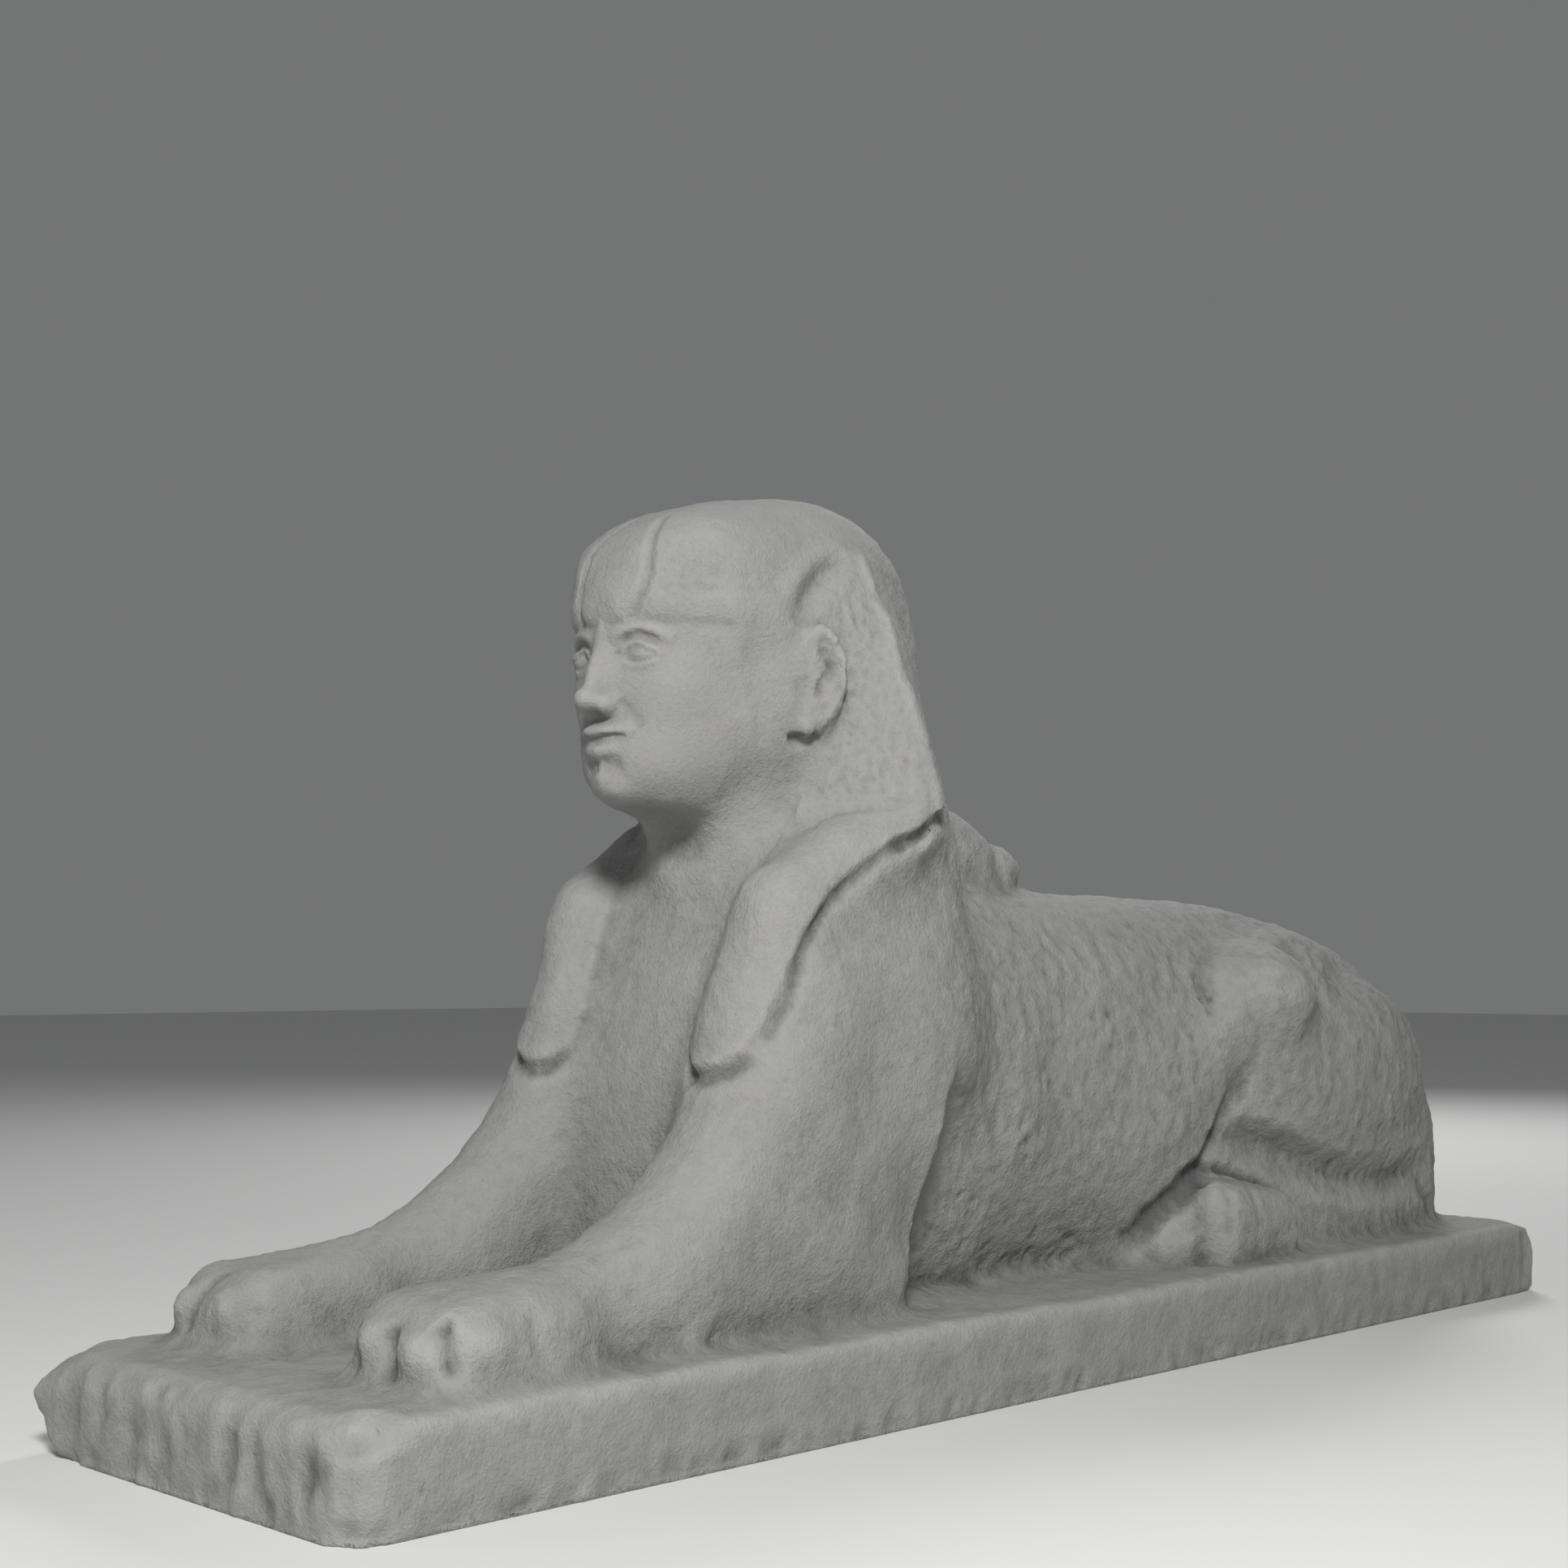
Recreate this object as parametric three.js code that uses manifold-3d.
// Recumbent sphinx with its plinth, carved from one block of stone.
// Millimetres, +Z up, the head looks along -Y and the left flank faces +X.
// The form is a field of signed distances: limbs, ellipsoids and lofted sections
// that flow into each other with soft fillets, then one closed skin over all of it.
import * as THREE from 'three';
import { mergeVertices } from 'three/addons/utils/BufferGeometryUtils.js';
import Module from 'manifold-3d';

// ---------------------------------------------------------------- driving dimensions
const plinthLength = 1518;
const plinthWidth = 400;
const plinthHeight = 74;
const plinthCorner = 10; // radius of the worn corners in plan
const plinthMiddle = [-6, -4]; // the plinth's middle seen from the figure's
const plinthEdge = 13; // radius of the worn upper edge
const plinthDepth = 40; // extra depth below the ground, cut away flat at the end

const legSpread = 113; // middle of each foreleg from the middle plane
const pawTop = 136;
const pawFront = -690;

const rumpY = 500; // middle of the hindquarters
const backHeight = 416;

const browHeight = 630; // band across the forehead
const ridgeY = -206; // outer ridge of the headcloth's wings

const stone = { color: 0x8c8b89, roughness: 0.86, metalness: 0 };

// ---------------------------------------------------------------- field pieces
const clamp01 = (t) => Math.min(1, Math.max(0, t));

// Rounded limb between two balls of different radius.
function limb(from, to, radiusFrom, radiusTo) {
  const axis = to.map((value, i) => value - from[i]);
  const length2 = axis[0] ** 2 + axis[1] ** 2 + axis[2] ** 2;
  return (x, y, z) => {
    const px = x - from[0];
    const py = y - from[1];
    const pz = z - from[2];
    const t = clamp01((px * axis[0] + py * axis[1] + pz * axis[2]) / length2);
    const gap = Math.hypot(px - t * axis[0], py - t * axis[1], pz - t * axis[2]);
    return gap - (radiusFrom + t * (radiusTo - radiusFrom));
  };
}

// Chain of limbs through a list of [x, y, z, radius] balls.
function chain(balls) {
  const links = [];
  for (let i = 1; i < balls.length; i += 1) {
    const [a, b] = [balls[i - 1], balls[i]];
    links.push(limb(a.slice(0, 3), b.slice(0, 3), a[3], b[3]));
  }
  return blend(12, ...links);
}

// Ellipsoid, squarer in plan and in height as the two powers grow; tilt turns it about X.
function egg([cx, cy, cz], [rx, ry, rz], { plan = 2, rise = 2, tilt = 0 } = {}) {
  const cos = Math.cos(tilt);
  const sin = Math.sin(tilt);
  const least = Math.min(rx, ry, rz);
  return (x, y, z) => {
    const dy = y - cy;
    const dz = z - cz;
    const u = Math.abs((x - cx) / rx);
    const v = Math.abs((dy * cos + dz * sin) / ry);
    const w = Math.abs((dz * cos - dy * sin) / rz);
    const flat = (u ** plan + v ** plan) ** (1 / plan);
    const reach = (flat ** rise + w ** rise) ** (1 / rise);
    const length = Math.hypot(x - cx, dy, dz);
    return reach > 0.3 ? length * (1 - 1 / reach) : -0.7 * least;
  };
}

// Distance to the corner where two walls meet.
const roundedCorner = (u, v) => Math.hypot(Math.max(u, 0), Math.max(v, 0)) + Math.min(Math.max(u, v), 0);

// Box with rounded edges.
function block([cx, cy, cz], [hx, hy, hz], round) {
  return (x, y, z) => {
    const dx = Math.abs(x - cx) - hx + round;
    const dy = Math.abs(y - cy) - hy + round;
    const dz = Math.abs(z - cz) - hz + round;
    const outside = Math.hypot(Math.max(dx, 0), Math.max(dy, 0), Math.max(dz, 0));
    return outside + Math.min(Math.max(dx, dy, dz), 0) - round;
  };
}

// Smooth curve through rows of [position, value, value, ...].
function profile(rows) {
  const width = rows[0].length - 1;
  const at = new THREE.CubicInterpolant(
    rows.map((row) => row[0]),
    rows.flatMap((row) => row.slice(1)),
    width,
    new Float64Array(width),
  );
  return (position) => at.evaluate(position);
}

// Barrel along Y: rows of [y, half width, top, bottom].
function barrel(rows, power) {
  const section = profile(rows);
  const first = rows[0][0];
  const last = rows[rows.length - 1][0];
  return (x, y, z) => {
    const [half, top, bottom] = section(y);
    const rise = (top - bottom) / 2;
    const u = Math.abs(x / half) ** power;
    const v = Math.abs((z - (top + bottom) / 2) / rise) ** power;
    const wall = ((u + v) ** (1 / power) - 1) * Math.min(half, rise);
    return Math.max(wall, first - y, y - last);
  };
}

// Column along Z with a front and a back of different depth:
// rows of [z, half width, front y, widest y, back y].
function column(rows, frontPower, backPower) {
  const section = profile(rows);
  const first = rows[0][0];
  const last = rows[rows.length - 1][0];
  return (x, y, z) => {
    const [half, front, widest, back] = section(z);
    const depth = y < widest ? widest - front : back - widest;
    const power = y < widest ? frontPower : backPower;
    const sum = Math.abs(x / half) ** power + Math.abs((y - widest) / depth) ** power;
    const wall = (sum ** (1 / power) - 1) * Math.min(half, depth);
    return Math.max(wall, first - z, z - last);
  };
}

// Soft union: the fillet is about as wide as the first number.
function blend(width, ...shapes) {
  return (x, y, z) => {
    let nearest = shapes[0](x, y, z);
    for (let i = 1; i < shapes.length; i += 1) {
      const other = shapes[i](x, y, z);
      const overlap = Math.max(width - Math.abs(nearest - other), 0) / width;
      nearest = Math.min(nearest, other) - overlap * overlap * width * 0.25;
    }
    return nearest;
  };
}

// Soft cut of one shape out of another.
function carve(width, body, ...cuts) {
  const removed = blend(width, ...cuts);
  return (x, y, z) => {
    const solid = -body(x, y, z);
    const hollow = removed(x, y, z);
    const overlap = Math.max(width - Math.abs(solid - hollow), 0) / width;
    return -(Math.min(solid, hollow) - overlap * overlap * width * 0.25);
  };
}

// The same shape on both sides of the middle plane.
const bothSides = (shape) => (x, y, z) => shape(Math.abs(x), y, z);

// Half space beyond a slanted plane, for a break.
function beyond([px, py, pz], direction) {
  const n = new THREE.Vector3(...direction).normalize();
  return (x, y, z) => -(n.x * (x - px) + n.y * (y - py) + n.z * (z - pz));
}

// ---------------------------------------------------------------- plinth
function plinth() {
  const slab = (x, y, z) => {
    const dx = Math.abs(x - plinthMiddle[0]) - plinthWidth / 2 + plinthCorner;
    const dy = Math.abs(y - plinthMiddle[1]) - plinthLength / 2 + plinthCorner;
    const side = roundedCorner(dx, dy) - plinthCorner + plinthEdge;
    const half = (plinthHeight + plinthDepth) / 2;
    const lid = Math.abs(z - plinthHeight + half) - half + plinthEdge;
    return roundedCorner(side, lid) - plinthEdge;
  };
  const right = plinthMiddle[0] - plinthWidth / 2;
  const left = plinthMiddle[0] + plinthWidth / 2;
  const front = plinthMiddle[1] - plinthLength / 2;
  const brokenFoot = beyond([right, front, 36], [-0.56, -0.56, -0.61]);
  const brokenTop = beyond([left - 20, front + 20, plinthHeight], [0.5, -0.5, 0.8]);
  return carve(8, slab, brokenFoot, brokenTop);
}

// ---------------------------------------------------------------- lion's body
function trunk() {
  return barrel([
    [-300, 120, 440, 50],
    [-150, 118, 440, 50],
    [-20, 115, 428, 50],
    [120, 121, backHeight + 2, 50],
    [300, 126, backHeight, 50],
    [420, 126, backHeight - 7, 50],
    [510, 122, backHeight - 40, 60],
  ], 2.3);
}

function rump() {
  return egg([0, rumpY, 145], [147, 236, 250], { plan: 2.8 });
}

function haunch() {
  const thigh = egg([96, 452, 238], [66, 202, 106], { plan: 2.2, rise: 2.4 });
  const knee = egg([112, 332, 320], [54, 78, 54]);
  const foldOfSkin = chain([
    [108, 262, 285, 38],
    [96, 212, 190, 30],
    [84, 178, 84, 34],
  ]);
  const foot = limb([100, 640, 100], [104, 260, 108], 34, 36);
  const paw = chain([
    [122, 236, 112, 40],
    [126, 308, 98, 36],
  ]);
  const hollow = egg([158, 278, 182], [34, 34, 48]);
  return blend(8, carve(12, blend(14, thigh, knee, foldOfSkin), hollow), foot, paw);
}

// ---------------------------------------------------------------- chest and forelegs
function chest() {
  return column([
    [60, 120, -392, -180, -60],
    [150, 138, -389, -180, -60],
    [262, 148, -378, -180, -60],
    [330, 150, -356, -180, -60],
    [400, 146, -325, -180, -60],
    [470, 136, -284, -180, -60],
  ], 3, 2);
}

function foreleg() {
  const shoulder = egg([98, -205, 285], [70, 120, 166]);
  const arm = chain([
    [102, -292, 330, 62],
    [110, -330, 258, 62],
    [legSpread, -386, 178, 54],
    [legSpread, -452, 130, 50],
    [legSpread, -550, 98, 38],
    [legSpread, -630, 94, 34],
  ]);
  const forearm = limb([110, -238, 112], [legSpread, -470, 112], 47, 44);
  const halfPaw = 57;
  const pawHalfHeight = (pawTop - 60) / 2;
  const pad = block([legSpread, -612, 60 + pawHalfHeight], [halfPaw, 68, pawHalfHeight], 30);
  const toes = [];
  for (let i = 0; i < 4; i += 1) {
    const across = legSpread + (i - 1.5) * 28;
    const back = i === 0 || i === 3 ? 8 : 0;
    toes.push(egg([across, pawFront + 44 + back, 96], [17, 44, 36]));
  }
  return blend(22, shoulder, arm, forearm, blend(10, pad, ...toes));
}

// ---------------------------------------------------------------- headcloth
function hood() {
  const cap = egg([0, -246, 600], [102, 168, 139], { plan: 2.3, rise: 2.6, tilt: 0.17 });
  const back = column([
    [440, 168, -300, ridgeY, -20],
    [471, 172, -300, ridgeY, -28],
    [525, 160, -300, ridgeY, -45],
    [573, 144, -296, ridgeY, -58],
    [615, 130, -290, ridgeY, -70],
    [651, 110, -285, ridgeY, -84],
    [700, 78, -280, ridgeY, -108],
  ], 1.4, 1.2);
  const queue = chain([
    [0, -80, 470, 50],
    [0, 0, 444, 42],
    [0, 58, 424, 30],
  ]);
  const faceOpening = block([0, -430, 545], [86, 130, browHeight - 557], 24);
  const band = chain([
    [90, -282, browHeight + 6, 13],
    [80, -344, browHeight + 2, 13],
    [46, -388, browHeight, 13],
    [0, -402, browHeight, 13],
  ]);
  return blend(14, blend(6, carve(6, cap, faceOpening), bothSides(band)), back, queue);
}

function lappet() {
  return chain([
    [124, -226, 448, 38],
    [112, -318, 388, 36],
    [106, -352, 304, 36],
  ]);
}

// ---------------------------------------------------------------- neck and face
function head() {
  const neck = limb([0, -235, 380], [0, -262, 520], 94, 74);
  const skull = egg([0, -296, 580], [84, 114, 120], { plan: 2.3 });
  const jaw = egg([0, -318, 520], [66, 92, 56], { plan: 2.3, tilt: 0.2 });
  const ear = egg([98, -272, 572], [13, 22, 42]);
  const eyeSocket = egg([33, -426, 592], [27, 24, 16]);
  const nose = chain([
    [0, -402, 604, 10],
    [0, -412, 566, 15],
  ]);
  const mouth = egg([0, -396, 526], [28, 18, 13]);
  const chin = egg([0, -392, 490], [24, 22, 18]);
  const face = carve(8, blend(24, skull, jaw), bothSides(eyeSocket));
  return blend(14, neck, blend(6, face, nose, mouth, chin), bothSides(ear));
}

// ---------------------------------------------------------------- closed skin over the field
// Grid positions from [end, number of steps] runs after the first position.
function gridLine(start, runs) {
  const line = [start];
  for (const [end, steps] of runs) {
    const from = line[line.length - 1];
    for (let i = 1; i <= steps; i += 1) {
      line.push(from + ((end - from) * i) / steps);
    }
  }
  return line;
}

function skin(field, xs, ys, zs) {
  const [nx, ny, nz] = [xs.length, ys.length, zs.length];
  const node = (i, j, k) => (k * ny + j) * nx + i;
  const values = new Float64Array(nx * ny * nz);
  for (let k = 0; k < nz; k += 1) {
    for (let j = 0; j < ny; j += 1) {
      for (let i = 0; i < nx; i += 1) {
        values[node(i, j, k)] = field(xs[i], ys[j], zs[k]);
      }
    }
  }

  // One point in each cell that the surface crosses: the mean of its edge crossings,
  // then drawn onto the surface along the field's slope.
  const points = [];
  const pointOf = new Int32Array(nx * ny * nz).fill(-1);
  const corners = [];
  const edges = [];
  for (let corner = 0; corner < 8; corner += 1) {
    corners.push([corner & 1, (corner >> 1) & 1, corner >> 2]);
    for (const bit of [1, 2, 4]) {
      if (!(corner & bit)) edges.push([corner, corner | bit]);
    }
  }
  for (let k = 0; k < nz - 1; k += 1) {
    for (let j = 0; j < ny - 1; j += 1) {
      for (let i = 0; i < nx - 1; i += 1) {
        const mean = [0, 0, 0];
        let crossings = 0;
        for (const [a, b] of edges) {
          const [ca, cb] = [corners[a], corners[b]];
          const va = values[node(i + ca[0], j + ca[1], k + ca[2])];
          const vb = values[node(i + cb[0], j + cb[1], k + cb[2])];
          if (va < 0 === vb < 0) continue;
          const t = va / (va - vb);
          mean[0] += xs[i + ca[0]] + t * (xs[i + cb[0]] - xs[i + ca[0]]);
          mean[1] += ys[j + ca[1]] + t * (ys[j + cb[1]] - ys[j + ca[1]]);
          mean[2] += zs[k + ca[2]] + t * (zs[k + cb[2]] - zs[k + ca[2]]);
          crossings += 1;
        }
        if (!crossings) continue;
        const reach = [xs[i + 1] - xs[i], ys[j + 1] - ys[j], zs[k + 1] - zs[k]];
        pointOf[node(i, j, k)] = points.length / 3;
        points.push(...settle(field, mean.map((value) => value / crossings), reach));
      }
    }
  }

  // One quad around each grid edge that the surface crosses.
  const triangles = [];
  const quad = (a, b, c, d, flip) => {
    const ring = [a, b, c, d].map((cell) => pointOf[cell]);
    if (flip) ring.reverse();
    const span = (p, q) => Math.hypot(...[0, 1, 2].map((n) => points[3 * p + n] - points[3 * q + n]));
    const [p, q, r, s] = ring;
    if (span(p, r) < span(q, s)) triangles.push(p, q, r, p, r, s);
    else triangles.push(p, q, s, q, r, s);
  };
  for (let k = 0; k < nz - 1; k += 1) {
    for (let j = 0; j < ny - 1; j += 1) {
      for (let i = 0; i < nx - 1; i += 1) {
        const inside = values[node(i, j, k)] < 0;
        if (inside !== values[node(i + 1, j, k)] < 0) {
          quad(node(i, j, k), node(i, j - 1, k), node(i, j - 1, k - 1), node(i, j, k - 1), !inside);
        }
        if (inside !== values[node(i, j + 1, k)] < 0) {
          quad(node(i, j, k), node(i, j, k - 1), node(i - 1, j, k - 1), node(i - 1, j, k), !inside);
        }
        if (inside !== values[node(i, j, k + 1)] < 0) {
          quad(node(i, j, k), node(i - 1, j, k), node(i - 1, j - 1, k), node(i, j - 1, k), !inside);
        }
      }
    }
  }
  return { points, triangles };
}

// Newton steps along the slope, held within a third of the cell.
function settle(field, start, reach) {
  const point = [...start];
  const step = 1;
  for (let round = 0; round < 3; round += 1) {
    const [x, y, z] = point;
    const value = field(x, y, z);
    const slope = [
      (field(x + step, y, z) - field(x - step, y, z)) / (2 * step),
      (field(x, y + step, z) - field(x, y - step, z)) / (2 * step),
      (field(x, y, z + step) - field(x, y, z - step)) / (2 * step),
    ];
    const size2 = slope[0] ** 2 + slope[1] ** 2 + slope[2] ** 2 + 1e-6;
    for (let n = 0; n < 3; n += 1) {
      const moved = point[n] - (value * slope[n]) / size2;
      const limit = 0.34 * reach[n];
      point[n] = Math.min(start[n] + limit, Math.max(start[n] - limit, moved));
    }
  }
  return point;
}

// ---------------------------------------------------------------- solids
const wasm = await Module();
wasm.setup();

function toSolid(geometry) {
  const bare = geometry.clone();
  bare.deleteAttribute('normal');
  bare.deleteAttribute('uv');
  const merged = mergeVertices(bare, 1e-4);
  return new wasm.Manifold(new wasm.Mesh({
    numProp: 3,
    vertProperties: new Float32Array(merged.attributes.position.array),
    triVerts: new Uint32Array(merged.index.array),
  }));
}

function toGeometry(solid) {
  const mesh = solid.getMesh();
  const geometry = new THREE.BufferGeometry();
  geometry.setAttribute('position', new THREE.BufferAttribute(new Float32Array(mesh.vertProperties), 3));
  geometry.setIndex(new THREE.BufferAttribute(new Uint32Array(mesh.triVerts), 1));
  geometry.computeVertexNormals();
  return geometry;
}

const body = blend(10, blend(30, trunk(), rump(), chest()), bothSides(haunch()), bothSides(foreleg()));
const clothed = blend(6, hood(), bothSides(lappet()));
const statueField = blend(12, plinth(), blend(5, body, blend(10, head(), clothed)));
const sphinxField = (x, y, z) => Math.max(statueField(x, y, z), -plinthDepth - z);

const { points, triangles } = skin(
  sphinxField,
  gridLine(-228, [[-176, 2], [-66, 6], [66, 8], [176, 6], [216, 2]]),
  gridLine(-782, [[-704, 2], [-592, 5], [-450, 5], [-180, 14], [60, 7], [700, 20], [776, 2]]),
  gridLine(-64, [[-4, 1], [56, 1], [92, 2], [152, 3], [420, 10], [680, 14], [760, 4]]),
);
const rough = new THREE.BufferGeometry();
rough.setAttribute('position', new THREE.Float32BufferAttribute(points, 3));
rough.setIndex(triangles);

// The underside is one flat bed at z = 0.
const ground = new THREE.BoxGeometry(2 * plinthWidth, 2 * plinthLength, 100).translate(0, 0, -50);
const statue = toSolid(rough).subtract(toSolid(ground));

const material = new THREE.MeshStandardMaterial({ name: 'worn grey stone', ...stone });
const sphinx = new THREE.Mesh(toGeometry(statue), material);
sphinx.name = 'sphinx_statue';
sphinx.position.set(-plinthMiddle[0], -plinthMiddle[1], 0);

const group = new THREE.Group();
group.add(sphinx);
export default group;
